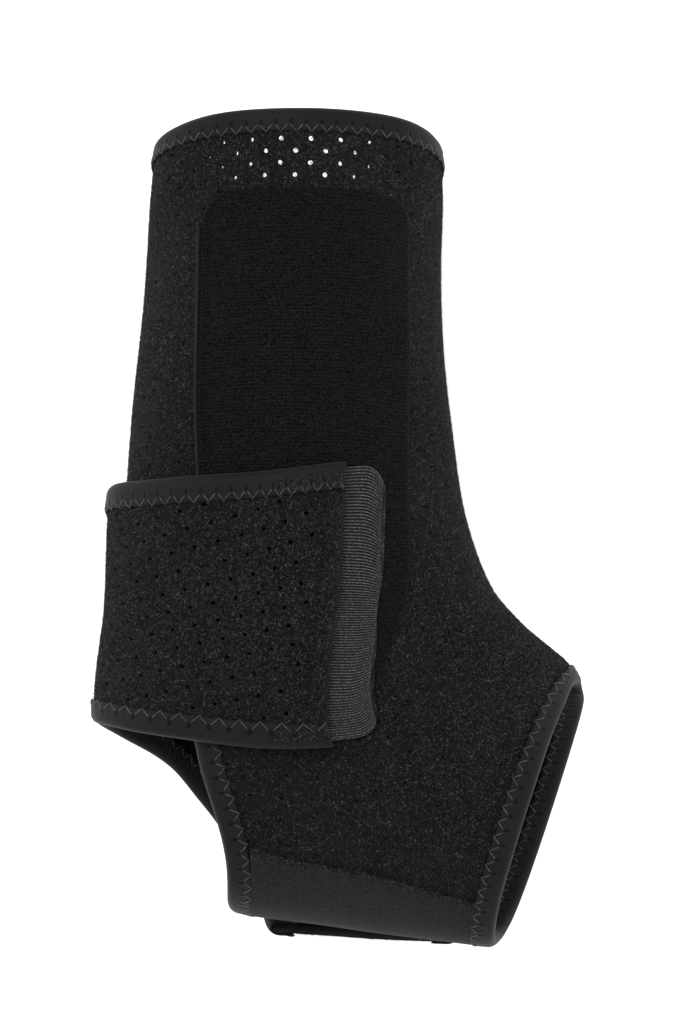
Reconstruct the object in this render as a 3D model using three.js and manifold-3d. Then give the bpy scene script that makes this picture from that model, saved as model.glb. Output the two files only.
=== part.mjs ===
// Ankle brace: a soft sleeve of perforated foam fabric with an open heel, bound
// edges, a knitted front panel and a wide wrap strap that closes with a hook tab.
// It lies on its far side. Units are millimetres, +Z is up, +Y runs up the leg and
// +X points to the toes. The origin is the centre of the footprint, on the floor.
import * as THREE from "three";
import { mergeVertices } from "three/addons/utils/BufferGeometryUtils.js";
import Module from "manifold-3d";

const wasm = await Module();
wasm.setup();

// Overall form
const LENGTH = 248; // calf rim to sole corner
const REACH = 146; // back of the strap to the instep corner
const DEPTH = 49; // crest of the near wall over the far wall
const SLIDE = 14; // how far the near wall has slid up over the far wall

// Fabric and tape
const WALL = 3; // foam fabric of the sleeve
const STRAP_WALL = 2.5; // foam fabric of the strap
const TAPE = 0.6; // binding tape
const TAPE_WIDTH = 6.5; // how far the tape laps over each face
const END_TAPE_WIDTH = 4; // tape on the strap's end
const PANEL_WALL = 0.8; // knitted panel
const PANEL_CORNER = 9; // radius of its two top corners
const PIPING_WIDTH = 1.2; // piped seam along the panel's back edge
const PIPING_START = 0.05; // share of the panel's length at which it starts
const SOLE_PANEL_WALL = 0.6; // smooth panel over the sole seam
const GAP = 0.35; // clearance between pieces that touch

// Hook tab
const TAB_WALL = 1.2;
const TAB_REACH = 13; // how far the tab shows past the strap's end
const TAB_ROOT = 7; // how much of it lies under the strap
const TAB_CORNER = 7;
const TAB_MARGIN = 0.6; // how much narrower than the strap it is at each edge

// Perforations of the calf band: a staggered pattern of small holes
const HOLE_RADIUS = 0.7;
const HOLE_PITCH = 8.5; // around the calf
const HOLE_ROW = 3.5; // from one row to the next
const HOLE_ROWS = 4;
const HOLE_MARGIN = 1.8; // bare fabric between the calf tape and the first row
const HOLE_SPREAD = 0.36; // how far a row reaches to each side, as a share of the near wall
const HOLE_SIDES = 4;

// Layers, as distances out from the sleeve's outer face
const TAPE_TOP = GAP + TAPE;
const PANEL_TOP = GAP + PANEL_WALL;
const STRAP_LIFT = Math.max(PANEL_TOP, TAPE_TOP) + GAP + TAPE + GAP;
const TAB_LIFT = PANEL_TOP + GAP;
const STRAP_END_LIFT = TAB_LIFT + TAB_WALL + GAP + TAPE + GAP;

// Height of the far wall over the floor: the strap and its tape lie under it
const STRAP_STACK = STRAP_LIFT + STRAP_WALL + TAPE_TOP;
const RIM_STACK = TAPE_TOP;

// Sections of the sleeve from the calf rim to the toe rim. Each one runs from a back
// point to a front point, given as shares of REACH and LENGTH. far and near are the
// heights of the two walls as shares of STRAP_STACK and DEPTH, and slide is a share of SLIDE.
const SECTIONS = [
  { backX: 0.135, backY: 0.968, frontX: 0.714, frontY: 0.968, far: 0.2, near: 1.0, slide: 1 },
  { backX: 0.121, backY: 0.907, frontX: 0.719, frontY: 0.907, far: 0.2, near: 1.0, slide: 1 },
  { backX: 0.11, backY: 0.81, frontX: 0.715, frontY: 0.81, far: 0.4, near: 0.99, slide: 1 },
  { backX: 0.096, backY: 0.714, frontX: 0.721, frontY: 0.714, far: 0.8, near: 0.97, slide: 1 },
  { backX: 0.079, backY: 0.617, frontX: 0.739, frontY: 0.617, far: 1.0, near: 0.96, slide: 1 },
  { backX: 0.07, backY: 0.52, frontX: 0.765, frontY: 0.524, far: 1.0, near: 0.95, slide: 0.95 },
  { backX: 0.062, backY: 0.411, frontX: 0.814, frontY: 0.444, far: 1.0, near: 0.94, slide: 0.9 },
  { backX: 0.04, backY: 0.296, frontX: 0.873, frontY: 0.4, far: 1.0, near: 0.92, slide: 0.85 },
  { backX: 0.055, backY: 0.157, frontX: 0.929, frontY: 0.372, far: 1.0, near: 0.9, slide: 0.85 },
  { backX: 0.23, backY: 0.064, frontX: 0.968, frontY: 0.353, far: 1.0, near: 0.89, slide: 0.88 },
  { backX: 0.506, backY: 0.034, frontX: 0.986, frontY: 0.34, far: 0.9, near: 0.88, slide: 0.92 },
  { backX: 0.828, backY: 0.008, frontX: 0.999, frontY: 0.327, far: 0.5, near: 0.87, slide: 0.88 },
];
const SIDE_HEIGHT = 0.47; // where the outline lies, as a share of a section's height
const NEAR_FULLNESS = 2.15; // superellipse power of the near half
const FAR_FULLNESS = 2.9; // the far half is flatter, because it lies on the floor
const PLAN_FULLNESS = 2.2;

// Places on the sleeve are pairs of shares. around runs from -1 at the front fold, over
// the far wall to 0 at the back fold, and over the near wall to 1. along runs from the
// calf rim at 0 to the toe rim at 1. The heel opening is an oval between such places.
const HEEL = { along: 0.705, halfAlong: 0.135, halfAround: 0.262 };

// The knitted panel on the near wall, from its top edge to its hidden bottom edge
const PANEL = [
  { along: 0.121, back: 0.266, front: 0.812 },
  { along: 0.27, back: 0.277, front: 0.81 },
  { along: 0.42, back: 0.289, front: 0.778 },
  { along: 0.57, back: 0.306, front: 0.724 },
  { along: 0.69, back: 0.36, front: 0.635 },
];

// The wrap strap from its end, over the near wall, round the back, down the far side
// and under the sole to its root. Each row gives its lower and its upper edge.
const STRAP = [
  { lowAround: 0.495, lowAlong: 0.755, upAround: 0.62, upAlong: 0.42 },
  { lowAround: 0.33, lowAlong: 0.706, upAround: 0.42, upAlong: 0.431 },
  { lowAround: 0.16, lowAlong: 0.67, upAround: 0.19, upAlong: 0.431 },
  { lowAround: 0.0, lowAlong: 0.647, upAround: -0.02, upAlong: 0.424 },
  { lowAround: -0.105, lowAlong: 0.664, upAround: -0.24, upAlong: 0.45 },
  { lowAround: -0.187, lowAlong: 0.698, upAround: -0.44, upAlong: 0.54 },
  { lowAround: -0.213, lowAlong: 0.75, upAround: -0.54, upAlong: 0.7 },
  { lowAround: -0.175, lowAlong: 0.808, upAround: -0.45, upAlong: 0.86 },
  { lowAround: -0.095, lowAlong: 0.848, upAround: -0.26, upAlong: 0.945 },
  { lowAround: -0.035, lowAlong: 0.866, upAround: -0.09, upAlong: 0.972 },
];
const STRAP_DROP = { from: 0.4, to: 1.3 }; // rows between which it comes down off the tab

// The smooth panel over the sole seam, between the heel tape and the toe tape
const SOLE_PANEL = { low: -0.03, high: 0.222, bow: 0.02 };

// Fineness of the meshes
const AROUND_STEPS = 40;
const FOLD_DENSITY = 0.25; // how much closer the steps lie at the two folds
const ALONG_STEPS = 26;
const SOLE_DENSITY = 0.85; // how the steps close up towards the sole, under 1
const STRAP_STEPS = { length: 36, width: 8, end: 10 };
const PANEL_STEPS = { length: 12, width: 10, piping: 14 };
const SOLE_PANEL_STEPS = { length: 12, width: 6 };
const TAB_STEPS = { length: 10, width: 6 };
const CORNER_EASE = 1.6; // how the steps close up towards round corners, over 1
const FLATNESS = 0.03; // faces that differ by less than this are joined
const SAMPLES = 64; // points that measure half a section
const NUDGE = 1e-3; // share used to measure slopes on the surface

const { clamp, lerp: mix, smoothstep } = THREE.MathUtils;
const power = (value, share) => Math.sign(value) * Math.abs(value) ** share;
const curveOf = (points) => new THREE.CatmullRomCurve3(points, false, "catmullrom", 0.5);

const backLine = curveOf(
  SECTIONS.map((s) => new THREE.Vector3(s.backX * REACH, s.backY * LENGTH, s.far * STRAP_STACK)),
);
const frontLine = curveOf(
  SECTIONS.map((s) => new THREE.Vector3(s.frontX * REACH, s.frontY * LENGTH, s.near * DEPTH)),
);
const slideLine = curveOf(SECTIONS.map((s) => new THREE.Vector3(s.slide * SLIDE, 0, 0)));

// A point on a curve, carried on straight beyond its two ends.
function pointOn(curve, share) {
  const inside = clamp(share, 0, 1);
  const point = curve.getPoint(inside);
  if (inside === share) return point;
  const near = curve.getPoint(inside === 0 ? NUDGE : 1 - NUDGE);
  return point.addScaledVector(point.clone().sub(near), Math.abs(share - inside) / NUDGE);
}

// One section of the sleeve, with the angle at each share of its length.
function makeSection(along) {
  const back = pointOn(backLine, along);
  const front = pointOn(frontLine, along);
  const floor = Math.max(back.z, RIM_STACK);
  const crest = floor + front.z;
  const side = mix(floor, crest, SIDE_HEIGHT);
  const half = new THREE.Vector2(back.x - front.x, back.y - front.y).multiplyScalar(0.5);
  const middle = new THREE.Vector2(back.x + front.x, back.y + front.y).multiplyScalar(0.5);
  const upstream = new THREE.Vector2(half.y, -half.x).normalize();
  const slide = pointOn(slideLine, along).x;
  const point = (angle) => {
    const across = power(Math.cos(angle), 2 / PLAN_FULLNESS);
    const bulge = Math.abs(Math.sin(angle));
    const rise =
      angle >= 0
        ? (crest - side) * bulge ** (2 / NEAR_FULLNESS)
        : (floor - side) * bulge ** (2 / FAR_FULLNESS);
    const shift = (slide * rise) / (crest - floor);
    return new THREE.Vector3(
      middle.x + half.x * across + upstream.x * shift,
      middle.y + half.y * across + upstream.y * shift,
      side + rise,
    );
  };
  const measure = (turn) => {
    const lengths = [0];
    let last = point(0);
    for (let i = 1; i <= SAMPLES; i++) {
      const next = point((turn * Math.PI * i) / SAMPLES);
      lengths.push(lengths[i - 1] + next.distanceTo(last));
      last = next;
    }
    return lengths;
  };
  const tables = { near: measure(1), far: measure(-1) };
  const at = (around) => {
    const turn = around < 0 ? -1 : 1;
    const table = around < 0 ? tables.far : tables.near;
    const wanted = Math.abs(around) * table[SAMPLES];
    let i = 1;
    while (i < SAMPLES && table[i] < wanted) i++;
    const share = (wanted - table[i - 1]) / (table[i] - table[i - 1]);
    return point((turn * Math.PI * (i - 1 + share)) / SAMPLES);
  };
  return { at };
}

const sections = new Map();
function sectionAt(along) {
  const key = along.toFixed(7);
  if (!sections.has(key)) sections.set(key, makeSection(along));
  return sections.get(key);
}

// The sleeve's outer face at a place, and its slopes across and down.
function faceAt(around, along) {
  const turn = around > 1 ? around - 2 : around < -1 ? around + 2 : around;
  const here = sectionAt(along).at(turn);
  const aside = Math.abs(turn) > 0.5 ? -NUDGE * Math.sign(turn) : NUDGE;
  const step = along > 0.5 ? -NUDGE : NUDGE;
  const across = sectionAt(along).at(turn + aside).sub(here).divideScalar(aside);
  const down = sectionAt(along + step).at(turn).sub(here).divideScalar(step);
  return { here, across, down };
}

// A point of the sleeve's outer face moved out by a distance.
function onSleeve(around, along, out = 0) {
  const { here, across, down } = faceAt(around, along);
  return here.addScaledVector(down.cross(across).normalize(), out);
}

// Moves a place along the face by a distance, in a direction given in shares.
function stepOn(place, towards, distance) {
  const { across, down } = faceAt(place.around, place.along);
  const pull = across.multiplyScalar(towards.around).addScaledVector(down, towards.along);
  const share = distance / pull.length();
  return {
    ...place,
    around: place.around + towards.around * share,
    along: place.along + towards.along * share,
  };
}

// The direction in shares that lies square to a line on the face, to one side of it.
function squareTo(place, line) {
  const { across, down } = faceAt(place.around, place.along);
  const tangent = across.clone().multiplyScalar(line.around).addScaledVector(down, line.along);
  const aside = tangent.cross(down.clone().cross(across)).normalize();
  const [aa, ad, dd] = [across.dot(across), across.dot(down), down.dot(down)];
  const [pa, pd] = [aside.dot(across), aside.dot(down)];
  const scale = aa * dd - ad * ad;
  return { around: (pa * dd - pd * ad) / scale, along: (pd * aa - pa * ad) / scale };
}

const geometryOf = (vertices, triangles) => {
  const numbers = vertices.flatMap((v) => v.toArray());
  return new THREE.BufferGeometry()
    .setAttribute("position", new THREE.Float32BufferAttribute(numbers, 3))
    .setIndex(triangles);
};

// Turns every face round if the mesh encloses a negative volume.
function facingOut(geometry) {
  const points = geometry.getAttribute("position");
  const index = geometry.getIndex();
  const [a, b, c] = [new THREE.Vector3(), new THREE.Vector3(), new THREE.Vector3()];
  let volume = 0;
  for (let i = 0; i < index.count; i += 3) {
    a.fromBufferAttribute(points, index.getX(i));
    b.fromBufferAttribute(points, index.getX(i + 1));
    c.fromBufferAttribute(points, index.getX(i + 2));
    volume += a.dot(b.cross(c));
  }
  if (volume < 0) geometry.setIndex(Array.from(index.array).reverse());
  return geometry;
}

// The triangles of a flat end cap on a ring of points.
function flatCap(ring) {
  const normal = new THREE.Vector3();
  ring.forEach((p, i) => normal.add(p.clone().cross(ring[(i + 1) % ring.length])));
  normal.normalize();
  const right = ring[1].clone().sub(ring[0]).projectOnPlane(normal).normalize();
  const up = normal.clone().cross(right);
  const outline = ring.map((p) => new THREE.Vector2(p.dot(right), p.dot(up)));
  return THREE.ShapeUtils.triangulateShape(outline, []);
}

// The triangles of a bent end cap on a ring that runs out along cloth and back under it.
function bentCap(ring) {
  const end = ring.length - 1;
  const pairs = Array.from({ length: ring.length / 2 - 1 }, (_, j) => j);
  return pairs.flatMap((j) => [[j, j + 1, end - j - 1], [j, end - j - 1, end - j]]);
}

// A closed skin swept through rings of points: with end caps, or else a ring of rings.
function skin(rings, cap) {
  const size = rings[0].length;
  const triangles = [];
  const last = cap ? rings.length - 1 : rings.length;
  for (let r = 0; r < last; r++) {
    const next = ((r + 1) % rings.length) * size;
    for (let i = 0; i < size; i++) {
      const j = (i + 1) % size;
      triangles.push(r * size + i, r * size + j, next + i);
      triangles.push(r * size + j, next + j, next + i);
    }
  }
  if (cap) {
    const base = last * size;
    cap(rings[0]).forEach(([a, b, c]) => triangles.push(a, c, b));
    cap(rings[last]).forEach(([a, b, c]) => triangles.push(base + a, base + b, base + c));
  }
  return facingOut(geometryOf(rings.flat(), triangles));
}

// Cloth between two offsets. place(k, t) gives a place on the sleeve and its lift.
function cloth(place, steps, widthSteps, inner, outer, closed = false) {
  const rings = Array.from({ length: closed ? steps : steps + 1 }, (_, i) => {
    const face = (out) =>
      Array.from({ length: widthSteps + 1 }, (_, j) => {
        const { around, along, lift = 0 } = place(i / steps, j / widthSteps);
        return onSleeve(around, along, lift + out);
      });
    return [...face(outer), ...face(inner).reverse()];
  });
  return skin(rings, closed ? null : bentCap);
}

// Tape folded over an edge of cloth whose faces lie at inner and outer. edge(k) gives
// a place on the edge, its lift and the direction in from the edge. laps is the number
// of flat strips that each lap is made of.
function binding(edge, steps, inner, outer, width, closed, laps = 1) {
  const over = outer + GAP;
  const under = inner - GAP;
  const lap = (from, to, out) =>
    Array.from({ length: laps + 1 }, (_, i) => [mix(from, to, i / laps), out]);
  const profile = [
    ...lap(width, -GAP - TAPE, over + TAPE),
    ...lap(-GAP - TAPE, width, under - TAPE),
    ...lap(width, -GAP, under),
    ...lap(-GAP, width, over),
  ];
  const rings = Array.from({ length: closed ? steps : steps + 1 }, (_, i) => {
    const place = edge(i / steps);
    return profile.map(([inwards, out]) => {
      const { around, along } = stepOn(place, place.inwards, inwards);
      return onSleeve(around, along, (place.lift ?? 0) + out);
    });
  });
  return skin(rings, closed ? null : flatCap);
}

const solidOf = (geometry) => {
  const merged = mergeVertices(geometry, 1e-4);
  const mesh = new wasm.Mesh({
    numProp: 3,
    vertProperties: new Float32Array(merged.getAttribute("position").array),
    triVerts: new Uint32Array(merged.getIndex().array),
  });
  return new wasm.Manifold(mesh);
};

// A geometry of a solid, with its flattest faces joined.
const geometryFrom = (solid) => {
  const mesh = solid.simplify(FLATNESS).getMesh();
  return new THREE.BufferGeometry()
    .setAttribute("position", new THREE.BufferAttribute(new Float32Array(mesh.vertProperties), 3))
    .setIndex(new THREE.BufferAttribute(new Uint32Array(mesh.triVerts), 1));
};

// The edge of the heel opening, with the way out of the opening into the fabric.
function heelEdge(k) {
  const angle = 2 * Math.PI * k;
  const place = {
    around: HEEL.halfAround * Math.sin(angle),
    along: HEEL.along + HEEL.halfAlong * Math.cos(angle),
  };
  const line = {
    around: HEEL.halfAround * Math.cos(angle),
    along: -HEEL.halfAlong * Math.sin(angle),
  };
  return { ...place, inwards: squareTo(place, line) };
}

// The share around the sleeve at share k of the steps, which lie closer at the folds.
function turnAt(k) {
  const turn = 2 * k - 1;
  return turn - (FOLD_DENSITY * Math.sin(2 * Math.PI * turn)) / (2 * Math.PI);
}

const rimEdge = (along, inwards) => (k) => ({
  around: turnAt(k),
  along,
  inwards: { around: 0, along: inwards },
});

// A slab over the oval heel opening that cuts it out.
function heelCutter(inner, outer) {
  const sizes = [0.2, 0.4, 0.6, 0.8, 1];
  const ring = (size, out) =>
    Array.from({ length: AROUND_STEPS }, (_, i) => {
      const { around, along } = heelEdge(i / AROUND_STEPS);
      return onSleeve(around * size, mix(HEEL.along, along, size), out);
    });
  const outside = sizes.map((size) => ring(size, outer));
  const inside = sizes.map((size) => ring(size, inner)).reverse();
  return skin([...outside, ...inside], flatCap);
}

// One perforation through the sleeve.
function holeCutter(place) {
  const { across, down } = faceAt(place.around, place.along);
  const ring = (out) =>
    Array.from({ length: HOLE_SIDES }, (_, i) => {
      const angle = (2 * Math.PI * i) / HOLE_SIDES;
      const around = place.around + (HOLE_RADIUS * Math.cos(angle)) / across.length();
      const along = place.along + (HOLE_RADIUS * Math.sin(angle)) / down.length();
      return onSleeve(around, along, out);
    });
  return skin([ring(GAP), ring(-WALL - GAP)], flatCap);
}

// The perforations between the calf tape and the knitted panel, on the near wall.
function perforations() {
  const { across, down } = faceAt(0.5, PANEL[0].along);
  const [pitch, row] = [HOLE_PITCH / across.length(), HOLE_ROW / down.length()];
  const first = (TAPE_WIDTH + HOLE_MARGIN) / down.length();
  const columns = Math.floor(HOLE_SPREAD / pitch);
  const cutters = [];
  for (let j = 0; j < HOLE_ROWS; j++) {
    for (let i = -columns; i <= columns; i++) {
      const place = { around: 0.5 + (i + (j % 2) / 2) * pitch, along: first + j * row };
      cutters.push(solidOf(holeCutter(place)));
    }
  }
  return cutters;
}

function makeSleeve() {
  const tube = (k, t) => ({ around: turnAt(k), along: t ** SOLE_DENSITY });
  const shell = solidOf(cloth(tube, AROUND_STEPS, ALONG_STEPS, -WALL, 0, true));
  const margin = 4;
  const heel = solidOf(heelCutter(-WALL - margin, margin));
  return shell.subtract(wasm.Manifold.union([heel, ...perforations()]));
}

// How far a rounded corner cuts in at a distance from the corner's end.
const cornerCut = (distance, radius) => {
  const rest = clamp(radius - distance, 0, radius);
  return radius - Math.sqrt(radius * radius - rest * rest);
};

// Steps that lie closer together near the start, where the round corners are.
const eased = (k) => k ** CORNER_EASE;

// The panel's back edge and front edge at share k of its length.
const panelBack = curveOf(PANEL.map((r) => new THREE.Vector3(r.back, r.along, 0)));
const panelFront = curveOf(PANEL.map((r) => new THREE.Vector3(r.front, r.along, 0)));

function panelPlace(k, t) {
  const [top, back, front] = [panelBack.getPoint(0), panelBack.getPoint(k), panelFront.getPoint(k)];
  const corner = onSleeve(back.x, back.y);
  const width = corner.distanceTo(onSleeve(front.x, front.y));
  const distance = corner.distanceTo(onSleeve(top.x, top.y));
  const inset = cornerCut(distance, PANEL_CORNER) / width;
  const share = mix(inset, 1 - inset, t);
  return { around: mix(back.x, front.x, share), along: mix(back.y, front.y, share) };
}

function makePanel() {
  const { length, width } = PANEL_STEPS;
  return cloth((k, t) => panelPlace(eased(k), t), length, width, GAP, PANEL_TOP);
}

// The piped seam beside the panel's back edge, from below its round corner.
function makePiping() {
  const place = (k, t) => {
    const back = panelBack.getPoint(mix(PIPING_START, 1, k));
    const edge = { around: back.x, along: back.y };
    return stepOn(edge, { around: -1, along: 0 }, GAP + PIPING_WIDTH * t);
  };
  return cloth(place, PANEL_STEPS.piping, 1, GAP, PANEL_TOP);
}

// The strap's lower and upper edge at share k of its length.
const lowLine = curveOf(STRAP.map((r) => new THREE.Vector3(r.lowAround, r.lowAlong, 0)));
const upLine = curveOf(STRAP.map((r) => new THREE.Vector3(r.upAround, r.upAlong, 0)));

function strapPlace(k, t) {
  const [low, up] = [pointOn(lowLine, k), pointOn(upLine, k)];
  const drop = smoothstep(k * (STRAP.length - 1), STRAP_DROP.from, STRAP_DROP.to);
  return {
    around: mix(low.x, up.x, t),
    along: mix(low.y, up.y, t),
    lift: mix(STRAP_END_LIFT, STRAP_LIFT, drop),
  };
}

// An edge of the strap, lower at t = 0 and upper at t = 1.
function strapEdge(k, t) {
  const place = strapPlace(k, t);
  const other = strapPlace(k, 1 - t);
  const inwards = { around: other.around - place.around, along: other.along - place.along };
  return { ...place, inwards };
}

// Lengths on the strap as shares: down its length at its end, and across its width.
const strapSpan = (a, b) => {
  const [p, q] = [strapPlace(...a), strapPlace(...b)];
  return onSleeve(p.around, p.along, p.lift).distanceTo(onSleeve(q.around, q.along, q.lift));
};
const perLength = NUDGE / strapSpan([0, 0.5], [NUDGE, 0.5]);
const perWidth = 1 / strapSpan([0, 0], [0, 1]);

// The tape on the strap's end, between the tapes of its two long edges.
function makeEndBinding() {
  const clear = (TAPE_WIDTH + 2 * GAP) * perWidth;
  const edge = (k) => {
    const place = strapPlace(0, mix(clear, 1 - clear, k));
    const next = strapPlace(NUDGE, mix(clear, 1 - clear, k));
    const inwards = { around: next.around - place.around, along: next.along - place.along };
    return { ...place, inwards };
  };
  return binding(edge, STRAP_STEPS.end, 0, STRAP_WALL, END_TAPE_WIDTH, false);
}

// The hook tab lies under the strap's end and shows past it, with two round corners.
function makeTab() {
  const place = (k, t) => {
    const distance = mix(-TAB_REACH, TAB_ROOT, k);
    const inset = (TAB_MARGIN + cornerCut(distance + TAB_REACH, TAB_CORNER)) * perWidth;
    const { around, along } = strapPlace(distance * perLength, mix(inset, 1 - inset, t));
    return { around, along };
  };
  const { length, width } = TAB_STEPS;
  return cloth((k, t) => place(eased(k), t), length, width, TAB_LIFT, TAB_LIFT + TAB_WALL);
}

// The sole panel fills the space between the heel tape and the toe tape.
function makeSolePanel() {
  const clear = TAPE_WIDTH + 2 * GAP;
  const place = (k, t) => {
    const high = SOLE_PANEL.high + SOLE_PANEL.bow * Math.sin(Math.PI * k);
    const around = mix(SOLE_PANEL.low, high, t);
    const round = Math.sqrt(1 - (around / HEEL.halfAround) ** 2);
    const heel = { around, along: HEEL.along + HEEL.halfAlong * round };
    const start = stepOn(heel, { around: 0, along: 1 }, clear / round).along;
    const end = stepOn({ around, along: 1 }, { around: 0, along: -1 }, clear).along;
    return { around, along: mix(start, end, k) };
  };
  const { length, width } = SOLE_PANEL_STEPS;
  return cloth(place, length, width, GAP, GAP + SOLE_PANEL_WALL);
}

const materials = {
  pile: new THREE.MeshStandardMaterial({ color: 0x1a1a1c, roughness: 0.95, metalness: 0 }),
  tape: new THREE.MeshStandardMaterial({ color: 0x242426, roughness: 0.75, metalness: 0 }),
  knit: new THREE.MeshStandardMaterial({ color: 0x111112, roughness: 0.9, metalness: 0 }),
  smooth: new THREE.MeshStandardMaterial({ color: 0x262423, roughness: 0.8, metalness: 0 }),
  hook: new THREE.MeshStandardMaterial({ color: 0x4a4b49, roughness: 0.7, metalness: 0 }),
};

const rimTape = (along, inwards, laps) =>
  binding(rimEdge(along, inwards), AROUND_STEPS, -WALL, 0, TAPE_WIDTH, true, laps);
const heelTape = () => binding(heelEdge, AROUND_STEPS, -WALL, 0, TAPE_WIDTH, true, 2);
const strapTape = (t) =>
  binding((k) => strapEdge(k, t), STRAP_STEPS.length, 0, STRAP_WALL, TAPE_WIDTH, false);
const makeStrap = () => cloth(strapPlace, STRAP_STEPS.length, STRAP_STEPS.width, 0, STRAP_WALL);

const PIECES = [
  { name: "sleeve", solid: makeSleeve(), material: materials.pile },
  { name: "calf_binding", solid: solidOf(rimTape(0, 1, 1)), material: materials.tape },
  { name: "toe_binding", solid: solidOf(rimTape(1, -1, 2)), material: materials.tape },
  { name: "heel_binding", solid: solidOf(heelTape()), material: materials.tape },
  { name: "knit_panel", solid: solidOf(makePanel()), material: materials.knit },
  { name: "panel_piping", solid: solidOf(makePiping()), material: materials.tape },
  { name: "sole_panel", solid: solidOf(makeSolePanel()), material: materials.smooth },
  { name: "wrap_strap", solid: solidOf(makeStrap()), material: materials.pile },
  { name: "strap_lower_binding", solid: solidOf(strapTape(0)), material: materials.tape },
  { name: "strap_upper_binding", solid: solidOf(strapTape(1)), material: materials.tape },
  { name: "strap_end_binding", solid: solidOf(makeEndBinding()), material: materials.tape },
  { name: "hook_tab", solid: solidOf(makeTab()), material: materials.hook },
];

const brace = new THREE.Group();
for (const { name, solid, material } of PIECES) {
  const mesh = new THREE.Mesh(geometryFrom(solid), material);
  mesh.name = name;
  brace.add(mesh);
}

// Sets the origin to the centre of the footprint.
const box = new THREE.Box3().setFromObject(brace);
const centre = box.getCenter(new THREE.Vector3());
brace.position.set(-centre.x, -centre.y, -box.min.z);

export default brace;
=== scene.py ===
"""Ankle brace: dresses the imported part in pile, knit, tape and stitches."""

import math
from collections import namedtuple

import bmesh
import bpy
import numpy as np
from bpy.props import FloatProperty, FloatVectorProperty, IntProperty, PointerProperty
from mathutils import Matrix, Vector


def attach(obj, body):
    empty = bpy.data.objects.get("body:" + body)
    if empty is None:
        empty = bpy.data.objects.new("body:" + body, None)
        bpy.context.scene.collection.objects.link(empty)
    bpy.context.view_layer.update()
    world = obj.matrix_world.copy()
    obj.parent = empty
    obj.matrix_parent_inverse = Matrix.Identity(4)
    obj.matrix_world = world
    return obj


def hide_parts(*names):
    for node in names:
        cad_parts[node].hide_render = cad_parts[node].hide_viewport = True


bl_info = {
    "name": "Ankle Brace",
    "version": (1, 0, 0),
    "blender": (4, 5, 0),
    "location": "View3D > Sidebar > Ankle Brace",
    "description": "Dresses the packed ankle brace in pile, knit, tape and stitches",
    "category": "Add Mesh",
}

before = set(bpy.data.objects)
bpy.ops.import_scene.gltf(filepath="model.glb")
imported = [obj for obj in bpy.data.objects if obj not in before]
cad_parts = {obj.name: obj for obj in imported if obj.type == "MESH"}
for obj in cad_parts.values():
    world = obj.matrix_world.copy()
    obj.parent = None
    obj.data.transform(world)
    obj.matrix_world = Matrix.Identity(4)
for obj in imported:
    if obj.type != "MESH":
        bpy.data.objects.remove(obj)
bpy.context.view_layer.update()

# The part's own sizes, in millimetres
LENGTH, REACH, DEPTH, SLIDE = 248, 146, 49, 14
WALL, STRAP_WALL, TAPE, TAPE_WIDTH, END_TAPE_WIDTH = 3, 2.5, 0.6, 6.5, 4
PANEL_WALL, PANEL_CORNER, PIPING_WIDTH, PIPING_START, SOLE_PANEL_WALL = 0.8, 9, 1.2, 0.05, 0.6
GAP = 0.35
TAB_WALL, TAB_REACH, TAB_ROOT, TAB_CORNER, TAB_MARGIN = 1.2, 13, 7, 7, 0.6
TAPE_TOP = GAP + TAPE
PANEL_TOP = GAP + PANEL_WALL
STRAP_LIFT = max(PANEL_TOP, TAPE_TOP) + GAP + TAPE + GAP
TAB_LIFT = PANEL_TOP + GAP
STRAP_END_LIFT = TAB_LIFT + TAB_WALL + GAP + TAPE + GAP
STRAP_STACK = STRAP_LIFT + STRAP_WALL + TAPE_TOP
RIM_STACK = TAPE_TOP
ORIGIN = np.array((74.5265, 123.8915, -0.112))  # the part's origin among the sections
MM = 0.001

# Sections of the sleeve from the calf rim to the toe rim, as shares of the sizes above
Section = namedtuple("Section", "back_x back_y front_x front_y far near slide")
SECTIONS = [
    Section(0.135, 0.968, 0.714, 0.968, 0.2, 1.0, 1),
    Section(0.121, 0.907, 0.719, 0.907, 0.2, 1.0, 1),
    Section(0.11, 0.81, 0.715, 0.81, 0.4, 0.99, 1),
    Section(0.096, 0.714, 0.721, 0.714, 0.8, 0.97, 1),
    Section(0.079, 0.617, 0.739, 0.617, 1.0, 0.96, 1),
    Section(0.07, 0.52, 0.765, 0.524, 1.0, 0.95, 0.95),
    Section(0.062, 0.411, 0.814, 0.444, 1.0, 0.94, 0.9),
    Section(0.04, 0.296, 0.873, 0.4, 1.0, 0.92, 0.85),
    Section(0.055, 0.157, 0.929, 0.372, 1.0, 0.9, 0.85),
    Section(0.23, 0.064, 0.968, 0.353, 1.0, 0.89, 0.88),
    Section(0.506, 0.034, 0.986, 0.34, 0.9, 0.88, 0.92),
    Section(0.828, 0.008, 0.999, 0.327, 0.5, 0.87, 0.88),
]
SIDE_HEIGHT, NEAR_FULLNESS, FAR_FULLNESS, PLAN_FULLNESS = 0.47, 2.15, 2.9, 2.2

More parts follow.
